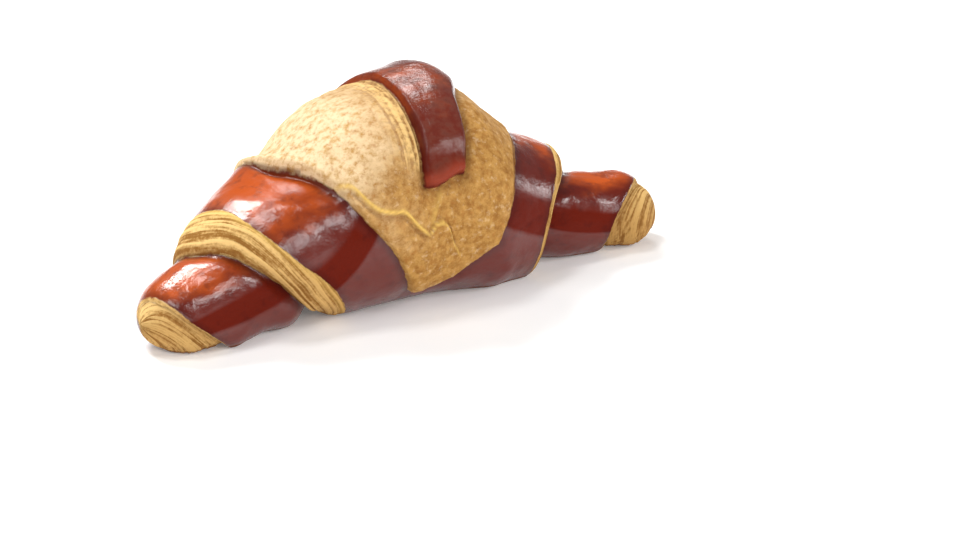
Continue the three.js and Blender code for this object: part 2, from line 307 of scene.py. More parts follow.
def turn_relief(turn, x, angle):
    """One turn of the sheet: its height, and how each place lies to its edges.

    cover and face are how far inside the foot and the shoulder of its edges a place is, the
    fourth value is the painted shade in the crevice beside it, and across, width and wide
    describe the sloping edge nearest to it.
    """
    t = turn + (90 - angle) / 360
    left_w = left_slope(t)
    right_w = right_slope(t)
    in_left = x - (left_edge(t) - left_w)
    in_right = (right_edge(t) + right_w) - x
    cover = np.minimum(in_left, in_right)
    face = np.minimum(in_left - left_w, in_right - right_w)
    rise = cut_edge(in_left / left_w) * cut_edge(in_right / right_w)
    if turn == 2:
        front = angle < 60
        past = (angle - tongue_end(x)) * DEGREE_MM
        half = TONGUE_SLOPE / 2
        rise = np.where(front, rise * cut_edge((past + half) / TONGUE_SLOPE), rise)
        cover = np.where(front, np.minimum(cover, past + half), cover)
        face = np.where(front, np.minimum(face, past - half), face)
    thick = sheet_thickness(t)
    strength = np.clip(thick / FULL_THICKNESS, 0, 1)
    away = np.maximum(-cover, 0)
    beside = hump(away, 0, GROOVE_REACH)
    groove = np.where(cover <= 0, beside, hump(cover, 0, GROOVE_INSIDE))
    puff = np.where(face > 0, 1 - np.exp(-face / PUFF_REACH), 0)
    height = thick * rise - GROOVE_DEPTH * strength * groove + PUFF_HEIGHT * strength * puff
    # painted shade in the crevice just outside each edge, as strong as the sheet is thick, and
    # for the outer turn fading out low on the front
    shade_strength = strength if turn < 2 else blend(-12, 24, angle)
    crevice_shade = shade_strength * np.where(cover <= 0.2, np.exp(-away / CREVICE_SHADE_REACH[turn]), 0)
    on_left = (in_left < left_w) & (left_w > WIDE_EDGE)
    across = np.where(in_left < in_right, in_left, in_right)
    width = np.where(in_left < in_right, left_w, right_w)
    wide = (on_left | ((in_right < right_w) & (right_w > WIDE_EDGE))) & (cover > 0)
    return height, cover, face, crevice_shade, across, width, wide


def crest_sink(x, angle, outer_cover):
    """How far the band left of the middle sinks between its crest and the seam."""
    beyond = np.maximum(x - band_crest(angle), 0)
    beside = (1 - blend(-0.6, 0.9, outer_cover)) * (x < 0)
    beside = beside * blend(30, 50, angle) * (1 - blend(95, 130, angle))
    return CREST_SLOPE * beyond ** 2 / (beyond + CREST_ROUNDING) * beside


def surface_fields(x, angle, covers, faces):
    """How far inside the glaze and inside the bare cut edges each place is, and the pale hem."""
    none = np.full_like(x, FAR_OUT)
    glaze = none
    cut = none
    for turn in (0, 1, 2):
        above = none if turn == 2 else np.maximum.reduce(covers[turn + 1:])
        shown = np.minimum(faces[turn], -above)
        bare = RIGHT_HEM * (x > 0) if turn == 1 else 0.0
        rim = np.minimum.reduce([covers[turn], bare - faces[turn], -above])
        if turn == 2:
            behind = (angle - GLAZED_FROM) * DEGREE_MM
            glaze = np.maximum(glaze, np.minimum(shown, behind))
            hem = np.clip(rim / HEM_SOFTNESS, 0, 1)
        else:
            glaze = np.maximum(glaze, shown - bare)
            cut = np.maximum(cut, rim)
    return {"glaze": glaze, "cut": cut, "hem": hem}


def nose_relief(x, place, nose_in, fields):
    """The laminated noses beyond the first edges: sets their fields and returns their height."""
    at_end = np.abs(x) > NOSE_FROM
    on_nose = at_end & (nose_in > 0)
    sideways = 1.4 * (place[:, 2] - place[:, 1])
    fanned = nose_in + NOSE_FAN * sideways
    ridge = leaves(fanned, sideways, NOSE_LEAF_PITCH, 41)
    fields["cut"] = np.where(at_end, np.maximum(fields["cut"], nose_in), fields["cut"])
    fields["leaf"] = np.where(on_nose, NOSE_LEAF + 1.3 * fanned, fields["leaf"])
    fields["along"] = np.where(on_nose, sideways, fields["along"])
    fields["layer"] = np.where(on_nose, ridge, fields["layer"])
    fields["ledge"] = np.where(on_nose, NOSE_LEDGE, fields["ledge"])
    return np.where(on_nose, NOSE_RELIEF * ridge * blend(0, 2.0, nose_in), 0)


def skin_relief(x, angle, place):
    """Height of the sheet's turns on the core, and the fields that the materials read."""
    height = np.zeros_like(x)
    fields = {
        "leaf": np.zeros_like(x), "along": angle * DEGREE_MM, "layer": np.zeros_like(x),
        "ledge": np.ones_like(x), "crevice_shade": np.zeros_like(x),
    }
    covers = []
    faces = []
    for turn in (0, 1, 2):
        added, cover, face, crevice, across, width, wide = turn_relief(turn, x, angle)
        on_edge = (cover > 0) & (face < 0)
        share = np.clip(across / width, 0, 1)
        ridge = leaves(across, fields["along"], LEAF_PITCH, 31 + turn)
        height += added + LEAF_RELIEF * ridge * wide * np.sin(np.pi * share) ** 0.5
        fields["leaf"] = np.where(on_edge, across + EDGE_LEAF * turn, fields["leaf"])
        fields["ledge"] = np.where(on_edge, share, fields["ledge"])
        fields["layer"] = np.where(wide & on_edge, ridge, fields["layer"])
        fields["crevice_shade"] = np.maximum(fields["crevice_shade"], crevice)
        covers.append(cover)
        faces.append(face)
    height -= crest_sink(x, angle, covers[2])
    fields.update(surface_fields(x, angle, covers, faces))
    height += nose_relief(x, place, -covers[0], fields)
    return height, fields


def folds_relief(x, angle):
    """The left lobe's fold, the small flap beside it and the ridge above that.

    Returns their height, the bright lips along them and the shade under the lips.
    """
    faded = 1 - blend(50, 110, angle)
    sides = blend(-30, -23, x) * (1 - blend(-7.5, -4.5, x))
    over = (angle - lobe_fold(x)) * DEGREE_MM
    swell = np.exp(-np.maximum(over, 0) / 16)
    lobe = LOBE_HEIGHT * cut_edge(over / 1.2) * swell * sides * faded
    lip = hump(over, 0.7, 0.45) * sides * faded
    under = hump(over, -0.7, 0.7) * sides * faded
    below = (flap_arch(x) - angle) * DEGREE_MM
    span = blend(-6.5, -5.2, x) * (1 - blend(2.4, 4.5, x)) * (1 - blend(10, 14, angle))
    flap = FLAP_HEIGHT * cut_edge(below) * np.exp(-np.maximum(below, 0) / 4) * span
    flap_lip = hump(below, 0.4, 0.4) * span
    flap_over = hump(below, -0.6, 0.6) * span
    ridge = hump(x, ridge_line(angle), 0.8) * blend(1, 5, angle) * (1 - blend(16, 23, angle))
    front = angle < 150
    height = np.where(front, lobe + flap - 0.35 * under - 0.3 * flap_over + 0.35 * ridge, 0)
    bright = np.where(front, np.maximum.reduce([lip, 0.7 * flap_lip, 0.3 * ridge]), 0)
    shade = np.where(front, np.maximum(0.8 * under, 0.5 * flap_over), 0)
    return height, bright, shade


def tail_relief(x, angle, place):
    """The tail strip, and the flaky layers that it has pulled up beside its left edge."""
    wander = TAIL_WANDER * lumps(place, 7.0, 11, 1)
    left = tail_left(angle)
    right = tail_right(angle)
    out = left - x
    flaky = (out > 0) * np.exp(-out / FLAKE_REACH)
    flaky = flaky * blend(24, 42, angle) * (1 - blend(150, 190, angle))
    flakes = leaves(out, angle * DEGREE_MM, FLAKE_PITCH, 51)
    height = flaky * (FLAKE_LIFT + FLAKE_RELIEF * flakes)
    wave = TAIL_END_WAVE * np.sin((x - 1) * 0.5)
    end_line = TAIL_FRONT_END + TAIL_END_SKEW * x + wave + wander
    in_left = x - left
    in_right = right - x
    in_front = (angle - end_line) * DEGREE_MM
    in_back = (TAIL_BACK_START - angle) * DEGREE_MM
    inside = np.minimum.reduce([in_left, in_right, in_front, in_back])
    rise = cut_edge(in_left / TAIL_EDGE) * cut_edge(in_right / TAIL_EDGE)
    rise = rise * cut_edge(in_front / TAIL_FRONT_SLOPE) * cut_edge(in_back / TAIL_BACK_SLOPE)
    across = np.clip((x - left) / (right - left), 0, 1)
    pillow = TAIL_PILLOW * np.sin(np.pi * across) ** 0.8
    rolled = TAIL_ROLL * hump(in_front, 1.7, 1.0)
    hollow = TAIL_HOLLOW * hump(in_front, 5.0, 2.4)
    near_end = np.exp(-np.maximum(in_front, 0) / 14)
    creases = TAIL_CREASES * lumps(place, 5.0, 21) * near_end
    thick = TAIL_THICKNESS + pillow + rolled - hollow + creases
    away = np.maximum(-inside, 0)
    height += np.where(rise > 0, rise * thick, -TAIL_GROOVE * hump(away, 0, 1.3))
    # painted shade in the crevice beside the tail strip
    crevice_shade = np.where(inside < 0.2, np.exp(-away), 0)
    ruddy = np.where(inside > 0, hump(in_front, 1.6, 1.5), 0)
    fields = {"tail": inside, "tail_crevice_shade": crevice_shade, "flaky": flaky, "ruddy": ruddy}
    return height, fields, flakes, out


# ---- the mesh ----
ROWS = 560
COLUMNS = 176
# How closely the rows lie along the roll: [station, share].
ROW_SHARE = [
    (-76, 1.6), (-66, 1.3), (-56, 1.2), (-50, 1.4), (-42, 1.2), (-30, 1.3), (-24, 1.7),
    (-16, 1.4), (-4, 1.4), (4, 1.0), (12, 1.2), (24, 1.3), (32, 1.0), (42, 1.4), (54, 0.9),
    (66, 1.1), (76, 1.6),
]
# How closely the columns lie round it: [turn angle, share].
COLUMN_SHARE = [
    (-90, 0.55), (-50, 0.95), (0, 1.25), (100, 1.3), (150, 0.9), (230, 0.8), (270, 0.55),
]
# Stations of the rows that follow an edge of the sheet or of the tail strip.
# On the underside those rows lie at their stations.
CAP_ROW = -66.0
LEFT_STRIP_ROW = -50.0
LEFT_SEAM_ROW = -24.0
TAIL_LEFT_ROW = -4.0
TAIL_RIGHT_ROW = 12.0
RIGHT_SEAM_ROW = 24.0
RIGHT_STRIP_ROW = 42.0
TIP_ROW = 60.0
CAP_LIMIT = -73.0                 # the rows of the two ends' edges stay between these
TIP_LIMIT = 71.5
NOSE_CLOSING = 0.65               # how much the rows close up towards the poles
SKIN_GUESS = 6.0                  # the sheet is about this thick, for placing the noise
MM_PER_METRE = 1000.0
MAP_MARGIN = 0.001


def spread(low, high, share, count):
    """count + 1 values from low to high, closer together where share is greater."""
    fine = np.linspace(low, high, 4001)
    step = (share(fine[1:]) + share(fine[:-1])) / 2
    total = np.concatenate([[0], np.cumsum(step)])
    return np.interp(np.linspace(0, total[-1], count + 1), total, fine)


def row_places(stations, angle):
    """Where the rows cross one turn angle: the rows at an edge's station follow that edge."""
    f = (90 - angle) / 360
    seen = blend(-88, -52, angle) * (1 - blend(205, 262, angle))
    # below its free end the tail strip has no edges, and its two rows ease to the right
    low = 1 - blend(-10, 26, angle)
    edges = [
        (CAP_ROW, max(left_edge(f), CAP_LIMIT)),
        (LEFT_STRIP_ROW, left_edge(1 + f) - 0.95 * left_slope(1 + f)),
        (LEFT_SEAM_ROW, left_edge(2 + f) - 0.5 * left_slope(2 + f)),
        (TAIL_LEFT_ROW, tail_left(angle) + 6.5 * low),
        (TAIL_RIGHT_ROW, tail_right(angle) + low),
        (RIGHT_SEAM_ROW, right_edge(2 + f) + 0.5 * right_slope(2 + f)),
        (RIGHT_STRIP_ROW, right_edge(1 + f) + 0.5 * right_slope(1 + f)),
        (TIP_ROW, min(right_edge(f), TIP_LIMIT)),
    ]
    known = [LEFT_END] + [station for station, edge in edges] + [RIGHT_END]
    places = [station + seen * (edge - station) for station, edge in edges]
    return np.interp(stations, known, [LEFT_END] + places + [RIGHT_END])


def row_stations():
    """Stations of the rows, closed up towards each pole where the nose turns over."""
    stations = spread(LEFT_END, RIGHT_END, through(ROW_SHARE), ROWS)
    for end, sign in ((LEFT_END, 1), (RIGHT_END, -1)):
        inside = (stations - end) * sign
        bend = np.clip(inside / END_ROUNDING, 0, 1)
        closed = END_ROUNDING * ((1 - NOSE_CLOSING) * bend + NOSE_CLOSING * bend ** 2)
        stations = np.where(inside < END_ROUNDING, end + sign * closed, stations)
    return stations[1:-1]


def floor_clamped(z):
    """Heights with the underside pressed flat on the floor, with a soft edge."""
    rounded = (z + FLOOR_SOFTNESS) ** 2 / (4 * FLOOR_SOFTNESS)
    return np.where(z < -FLOOR_SOFTNESS, 0, np.where(z < FLOOR_SOFTNESS, rounded, z))


def trim(x, angle):
    """The fuller foot on the front, less what the top and the back are flatter by."""
    fuller = foot_bulge(x) * blend(-4, -38, angle) * (1 - blend(-62, -88, angle))
    flatter = back_trim(x) * blend(62, 112, angle) * (1 - blend(190, 250, angle))
    return fuller - flatter


def toast_and_shade_at(x, angle, slow):
    """How toasted the dry crust is, 0 to 1, with painted light and shade in it: browner to the
    right, painted lighter over the top and darker low on the front at the left.
    """
    # browner to the right; painted light over the top and painted shade low on the front at the
    # left
    toast_and_shade = 0.25 + 0.75 * blend(-30, 8, x) - 0.35 * blend(40, 100, angle)
    toast_and_shade += 0.5 * blend(60, 5, angle) * blend(10, -20, x) + 0.25 * slow
    return np.clip(toast_and_shade, 0, 1)


def dullness(x, angle):
    """How dull the glaze is, 0 to 1: just above the shine line, and behind the band's crest."""
    over_shine = angle - shine_line(x)
    above = blend(-2, 3, over_shine) * (1 - blend(24, 36, over_shine))
    past_crest = blend(0.5, 3.5, x - band_crest(angle)) * (x < 0)
    past_crest *= blend(42, 56, angle) * (1 - blend(100, 130, angle))
    return np.maximum(above, 0.85 * past_crest)


def croissant_fields():
    """Every vertex but the two poles: its place, and the fields that the materials read."""
    stations = row_stations()
    angles = spread(-90, 270, through(COLUMN_SHARE), COLUMNS)[:-1]
    x = np.stack([row_places(stations, a) for a in angles], 1).ravel()
    angle = np.tile(angles, len(stations))
    core = core_radius(x)
    rough = section(x, angle, (core + SKIN_GUESS) * nose_fraction(x))
    height, fields = skin_relief(x, angle, rough)
    folds, bright, shade = folds_relief(x, angle)
    tail_height, tail_fields, flakes, out = tail_relief(x, angle, rough)
    height += folds + tail_height + trim(x, angle)
    fields.update(tail_fields)
    tail = fields["tail"]
    by_tail = fields["flaky"] > 0.02
    fields["layer"] = np.where(by_tail, flakes, fields["layer"])
    fields["leaf"] = np.where(by_tail, TAIL_LEAF + out, fields["leaf"])

    dark = blend(-0.5, 0.5, np.maximum(fields["glaze"], tail))
    pale = (1 - dark) * blend(0.5, -0.5, fields["cut"])
    slow = lumps(rough, 26.0, 1, 1)
    soft = lumps(rough, 8.0, 2)
    small = lumps(rough, 3.0, 5)
    height += BIG_LUMPS * slow
    height += soft * (GLAZED_LUMPS[0] * dark + PALE_LUMPS[0] * pale)
    height += small * (GLAZED_LUMPS[1] * dark + PALE_LUMPS[1] * pale)
    # the edges wander: each vertex moves along the roll, and its fields go with it
    steady = 1 - blend(60, 72, np.abs(x))
    moved = x - EDGE_WANDER * steady * lumps(rough, 16.0, 3, 1)
    place = section(moved, angle, (core + height) * nose_fraction(moved))
    place[:, 2] = floor_clamped(place[:, 2])

    fields["glaze"] = np.maximum(fields["glaze"], tail)
    # painted shade: in the crevices beside the turns and the tail strip, and under the fold lips
    crevice = np.maximum(fields["crevice_shade"] * (tail < 0), fields.pop("tail_crevice_shade"))
    fields["crevice_shade"] = np.maximum(crevice, 0.55 * shade)
    fields["bright"] = bright
    fields["crown"] = blend(-15, 80, angle) * (1 - blend(110, 200, angle))
    fields["toast_and_shade"] = toast_and_shade_at(x, angle, slow)
    fields["dull"] = dullness(x, angle)
    fields["sole"] = 1 - blend(0.0, 3.0, place[:, 2])
    return len(stations), angles, place, fields


def croissant_object():
    """The whole skin as one closed mesh, with a pole at each nose."""
    rows, angles, place, fields = croissant_fields()
    columns = len(angles)
    place = (place - np.array([ORIGIN_X, ORIGIN_Y, 0])) / MM_PER_METRE
    grid = np.arange(rows * columns).reshape(rows, columns)
    poles = [place[ring].mean(0) for ring in (grid[0], grid[-1])]
    poles[0][0] = (LEFT_END - ORIGIN_X) / MM_PER_METRE
    poles[1][0] = (RIGHT_END - ORIGIN_X) / MM_PER_METRE
    points = np.concatenate([place, poles])
    a = grid[:-1]
    d = grid[1:]
    b = np.roll(a, -1, axis=1)
    c = np.roll(d, -1, axis=1)
    quads = np.stack([a, d, c, b], -1).reshape(-1, 4)
    left_pole = rows * columns
    right_pole = left_pole + 1
    first = np.stack([np.full(columns, left_pole), grid[0], np.roll(grid[0], -1)], -1)
    last = np.stack([np.full(columns, right_pole), np.roll(grid[-1], -1), grid[-1]], -1)
    mesh = bpy.data.meshes.new("croissant_skin")
    mesh.from_pydata(points.tolist(), [], quads.tolist() + first.tolist() + last.tolist())
    mesh.update()
    for name, values in fields.items():
        layer = mesh.attributes.new(name, "FLOAT", "POINT")
        at_poles = [values[grid[0]].mean(), values[grid[-1]].mean()]
        layer.data.foreach_set("value", np.concatenate([values, at_poles]).astype(np.float32))
    unwrap(mesh, rows, angles)
    mesh.shade_smooth()
    piece = bpy.data.objects.new("croissant_crust", mesh)
    bpy.context.scene.collection.objects.link(piece)
    return piece


def unwrap(mesh, rows, angles):
    """Opens the skin along the underside: round the roll is u, along it v."""
    columns = len(angles)
    loops = np.empty(len(mesh.loops), np.int64)
    mesh.loops.foreach_get("vertex_index", loops)
    sizes = np.empty(len(mesh.polygons), np.int64)
    mesh.polygons.foreach_get("loop_total", sizes)
    corner_face = np.repeat(np.arange(len(sizes)), sizes)
    row = loops // columns
    column = loops % columns
    u = (angles[column] + 90) / 360
    v = (row + 1.0) / (rows + 1)
    pole = loops >= rows * columns
    v = np.where(pole, np.where(loops == rows * columns, 0, 1), v)
    # a face across the seam has corners at both edges of the map
    highest = np.zeros(len(sizes))
    np.maximum.at(highest, corner_face, np.where(pole, 0, u))
    u = np.where((~pole) & (u < 0.25) & (highest[corner_face] > 0.75), u + 1, u)
    total = np.zeros(len(sizes))
    np.add.at(total, corner_face, np.where(pole, 0, u))
    middle = total / np.maximum(sizes - 1, 1)
    u = np.where(pole, middle[corner_face], u)
    layer = mesh.uv_layers.new(name="OFBake")
    corners = np.stack([u, v], -1) * (1 - 2 * MAP_MARGIN) + MAP_MARGIN
    layer.data.foreach_set("uv", corners.ravel().astype(np.float32))


# ---- materials ----
GLAZE_DARK = (0.060, 0.005, 0.003, 1)
GLAZE_MID = (0.118, 0.009, 0.003, 1)
# painted light: the red-orange the glaze is given towards its crowns
GLAZE_WARM = (0.50, 0.078, 0.006, 1)
GLAZE_RUDDY = (0.30, 0.050, 0.026, 1)
# painted sheen: a greyish colour for the tail strip
GLAZE_GREY_SHEEN = (0.17, 0.055, 0.036, 1)
PALE_CREAM = (0.85, 0.65, 0.40, 1)
PALE_GOLD = (0.54, 0.295, 0.082, 1)
PALE_TAN = (0.265, 0.11, 0.025, 1)
PALE_TOASTED = (0.38, 0.15, 0.035, 1)
LEAF_LIGHT = (0.90, 0.60, 0.235, 1)
LEAF_MID = (0.36, 0.172, 0.039, 1)
LEAF_BROWN = (0.23, 0.10, 0.024, 1)
LEAF_DARK = (0.22, 0.085, 0.02, 1)
LIP_YELLOW = (0.85, 0.56, 0.14, 1)
SOLE_BROWN = (0.17, 0.055, 0.020, 1)
COAT_ROUGHNESS = 0.19
COAT_IOR = 1.62
UNDER_COAT_SHINE = 0.05
# How much of the coat is lost where the glaze is dull, on the tail strip, and low at the right.
DULL_LOSS = 0.85
TAIL_LOSS = 0.15
LOW_RIGHT_LOSS = 0.35
GLAZE_EDGE = 0.14                 # half the width over which the glaze and the cut edges begin
CUT_EDGE = 0.15
STRAND_WIDTH = 0.30               # of the fine strands in the laminated layers
STRAND_LENGTH = 9.0
FLOOR_WHITE = (0.96, 0.96, 0.96, 1)
FLOOR_WHITER = (0.98, 0.98, 0.98, 1)
FLOOR_GLOW = 0.11
FLOOR_ROUGHNESS = 0.85
FLOOR_SHINE = 0.2


class Nodes:
    """Short names for making and joining shader nodes."""

    def __init__(self, material):
        material.use_nodes = True
        self.tree = material.node_tree
        self.shader = self.tree.nodes["Principled BSDF"]
        self.object_place = self.tree.nodes.new("ShaderNodeTexCoord").outputs["Object"]

    def put(self, socket, value):
        if isinstance(value, bpy.types.NodeSocket):
            self.tree.links.new(value, socket)
        else:
            socket.default_value = value

    def field(self, name):
        node = self.tree.nodes.new("ShaderNodeAttribute")
        node.attribute_name = name
        return node.outputs["Fac"]

    def math(self, kind, a, b, c=0.0):
        node = self.tree.nodes.new("ShaderNodeMath")
        node.operation = kind
        for socket, value in zip(node.inputs, (a, b, c)):
            self.put(socket, value)
        return node.outputs[0]

    def plus(self, a, b):
        return self.math("ADD", a, b)

    def minus(self, a, b):
        return self.math("SUBTRACT", a, b)

    def times(self, a, b):
        return self.math("MULTIPLY", a, b)

    def times_plus(self, a, b, c):
        return self.math("MULTIPLY_ADD", a, b, c)

    def centred(self, value, reach):
        """A value from 0 to 1 spread over -reach to reach."""
        return self.times_plus(value, 2 * reach, -reach)

    def ramp(self, value, low, high, start=0.0, stop=1.0):
        node = self.tree.nodes.new("ShaderNodeMapRange")
        node.interpolation_type = "SMOOTHSTEP"
        names = ("Value", "From Min", "From Max", "To Min", "To Max")
        for name, given in zip(names, (value, low, high, start, stop)):
            self.put(node.inputs[name], given)
        return node.outputs["Result"]

    def mix(self, share, a, b):
        node = self.tree.nodes.new("ShaderNodeMix")
        node.data_type = "RGBA"
        self.put(node.inputs["Factor"], share)
        self.put(node.inputs[6], a)
        self.put(node.inputs[7], b)
        return node.outputs[2]

    def noise(self, size_mm, detail=2.0, stretch=None, rough=0.55, shift=0.0):
        """Noise from 0 to 1 with features of about size_mm."""
        place = self.object_place
        if stretch or shift:
            node = self.tree.nodes.new("ShaderNodeMapping")
            self.put(node.inputs["Vector"], place)
            node.inputs["Scale"].default_value = stretch or (1, 1, 1)
            node.inputs["Location"].default_value = (shift, shift * 0.7, shift * 0.3)
            place = node.outputs["Vector"]
        node = self.tree.nodes.new("ShaderNodeTexNoise")
        self.put(node.inputs["Vector"], place)
        node.inputs["Scale"].default_value = MM_PER_METRE / size_mm
        node.inputs["Detail"].default_value = detail
        node.inputs["Roughness"].default_value = rough
        return node.outputs["Fac"]

    def strands(self, across_mm, along_mm):
        """Noise from 0 to 1 drawn out along the laminated layers."""
        node = self.tree.nodes.new("ShaderNodeCombineXYZ")
        self.put(node.inputs["X"], self.times(self.field("leaf"), 1 / across_mm))
        self.put(node.inputs["Y"], self.times(self.field("along"), 1 / along_mm))
        noise_node = self.tree.nodes.new("ShaderNodeTexNoise")
        self.put(noise_node.inputs["Vector"], node.outputs["Vector"])
        noise_node.inputs["Scale"].default_value = 0.5
        noise_node.inputs["Detail"].default_value = 2.0
        return noise_node.outputs["Fac"]

    def bump(self, height, strength, distance_mm, under=None):
        node = self.tree.nodes.new("ShaderNodeBump")
        node.inputs["Strength"].default_value = strength
        node.inputs["Distance"].default_value = distance_mm / MM_PER_METRE
        self.put(node.inputs["Height"], height)
        if under is not None:
            self.put(node.inputs["Normal"], under)
        return node.outputs["Normal"]


def pale_colour(n, mottle, freckle, fine):
    """Dry crust: cream at the upper left to golden tan at the right, finely mottled, partly
    browning and partly painted light and shade.
    """
    toast_and_shade = n.plus(n.field("toast_and_shade"), n.centred(n.noise(14, 3, shift=0.8), 0.45))
    light = n.mix(n.ramp(mottle, 0.42, 0.74), PALE_CREAM, PALE_GOLD)
    deep = n.mix(n.ramp(mottle, 0.26, 0.76), PALE_GOLD, PALE_TAN)
    # painted light and shade with the browning: the lighter mottle where the crust is lit and
    # less toasted, the deeper where it is toasted and shaded
    colour = n.mix(n.ramp(toast_and_shade, 0.05, 0.95), light, deep)
    fleck = n.times(n.ramp(freckle, 0.52, 0.72), 0.5)
    colour = n.mix(fleck, colour, PALE_TOASTED)
    pore = n.times(n.ramp(freckle, 0.46, 0.28), 0.28)
    colour = n.mix(pore, colour, PALE_CREAM)
    colour = n.mix(n.times(n.field("hem"), 0.2), colour, PALE_GOLD)
    # the flaky layers beside the tail strip, and the light lips of the folds
    strand = n.times_plus(fine, 3.0, n.times_plus(freckle, 4.0, -3.5))
    strand = n.times_plus(n.field("layer"), 0.6, strand)
    flakes = n.mix(n.ramp(strand, -0.9, 0.7), PALE_TAN, LEAF_LIGHT)
    colour = n.mix(n.ramp(n.field("flaky"), 0.10, 0.60, 0.0, 0.8), colour, flakes)
    return n.mix(n.times(n.field("bright"), 0.9), colour, LIP_YELLOW)


def leaf_colour(n, fine):
    """Laminated edges: uneven strands of pale dough with brown lines between them, with painted
    shade in the gaps, at each edge's foot and low round the roll.
    """
    ledge = n.field("ledge")
    broken = n.centred(n.noise(1.1, 3, rough=0.7, shift=0.7), 0.8)
    streak = n.centred(fine, 1.7)
    rough_layer = n.times_plus(n.field("layer"), 0.7, n.plus(streak, broken))
    colour = n.mix(n.ramp(rough_layer, -0.8, 0.5), LEAF_MID, LEAF_LIGHT)
    toasted_and_shaded = n.mix(n.ramp(rough_layer, -0.5, 0.5), LEAF_BROWN, LEAF_MID)
    # dark lines in the gaps between the layers, partly browned dough and partly painted shade,
    # painted fainter on the crowns where the light falls
    deep = n.times_plus(n.field("crown"), -0.45, 0.85)
    gap = n.times(n.ramp(rough_layer, -0.35, -1.0), deep)
    colour = n.mix(gap, colour, LEAF_DARK)
    # painted shade at the foot of each cut edge
    foot = n.times(n.ramp(ledge, 0.16, 0.0), 0.5)
    colour = n.mix(foot, colour, LEAF_DARK)
    top = n.times(n.ramp(ledge, 0.72, 0.92), n.ramp(ledge, 1.0, 0.97))
    colour = n.mix(n.times(top, 0.4), colour, LIP_YELLOW)
    # painted shade: the strands turn browner lower round the roll, with the field of toast and
    # painted shade
    low = n.times_plus(n.field("crown"), -0.45, 0.75)
    return n.mix(n.times(n.field("toast_and_shade"), low), colour, toasted_and_shaded)


def glaze_colour(n, glaze, fleck, on_tail):
    """Egg glaze in deep maroon, with painted light and shade: red-orange towards the crowns as
    if lit from above, darker near its edges and where the crust is toasted and shaded, with dark
    flecks, a painted grey sheen and a ruddy end on the tail strip.
    """
    cloud = n.noise(9, 3, stretch=(0.6, 1.0, 1.0), shift=0.2)
    # painted light: the glaze turns red-orange towards the crowns, where the light falls from
    # above
    warmth = n.plus(n.field("crown"), n.centred(cloud, 0.8))
    warmth = n.minus(warmth, n.times(on_tail, 0.3))
    warmth = n.plus(warmth, n.times_plus(n.field("toast_and_shade"), -0.52, 0.2))
    colour = n.mix(n.ramp(warmth, 0.30, 1.05), GLAZE_MID, GLAZE_WARM)
    # painted sheen: a greyish mottle over the tail strip
    painted_sheen = n.times(on_tail, n.ramp(fleck, 0.35, 0.65, 0.15, 0.6))
    colour = n.mix(painted_sheen, colour, GLAZE_GREY_SHEEN)
    colour = n.mix(n.times(n.ramp(fleck, 0.5, 0.75), 0.45), colour, GLAZE_DARK)
    # painted shade: the glaze darkens over the last few mm towards its edges, along the seams
    rim = n.times(n.ramp(glaze, 2.6, 0.1), 0.6)
    colour = n.mix(rim, colour, GLAZE_DARK)
    return n.mix(n.times(n.field("ruddy"), 0.8), colour, GLAZE_RUDDY)


def coat_weight(n, dark, baked, on_tail):
    """The clear coat: on the glaze only, patchy, and thinner where the bake has dulled it."""
    gloss = n.times(dark, n.minus(1.0, baked))
    patchy = n.ramp(n.noise(4.5, 3, shift=0.9), 0.25, 0.5, 0.7, 1.0)
    low_right = n.times(n.field("toast_and_shade"), n.minus(1.0, n.field("crown")))
    left_over = n.minus(1.0, n.times(n.field("dull"), DULL_LOSS))
    left_over = n.minus(left_over, n.times(on_tail, TAIL_LOSS))
    left_over = n.minus(left_over, n.times(low_right, LOW_RIGHT_LOSS))
    return n.times(n.times(gloss, patchy), n.math("MAXIMUM", left_over, 0.0))


def crust_roughness(n, dark, baked, mottle, fleck):
    """Matte dry crust, satin glaze under its coat, and a matte sole."""
    matte = n.ramp(mottle, 0.3, 0.7, 0.62, 0.80)
    satin = n.ramp(fleck, 0.35, 0.7, 0.30, 0.44)
    rough = n.times_plus(dark, n.minus(satin, matte), matte)
    return n.math("MAXIMUM", rough, n.times(baked, 0.7))


def add_bumps(n, dark, cut_on, on_tail, fine):
    """Crumbs on the dry crust, strands on the cut edges, and blisters in the glaze."""
    crumbs = n.noise(0.9, 4, rough=0.65)
    blister = n.noise(2.4, 3, shift=0.4)
    dry = n.bump(n.times(crumbs, n.minus(1.0, dark)), 0.7, 0.35)
    lined = n.bump(n.times(fine, cut_on), 0.7, 0.35, dry)
    n.put(n.shader.inputs["Normal"], n.bump(blister, 0.35, 0.35, lined))
    pitted = n.times_plus(crumbs, 0.6, blister)
    pitted = n.times(pitted, n.plus(on_tail, 1.0))
    n.put(n.shader.inputs["Coat Normal"], n.bump(pitted, 0.42, 0.3))


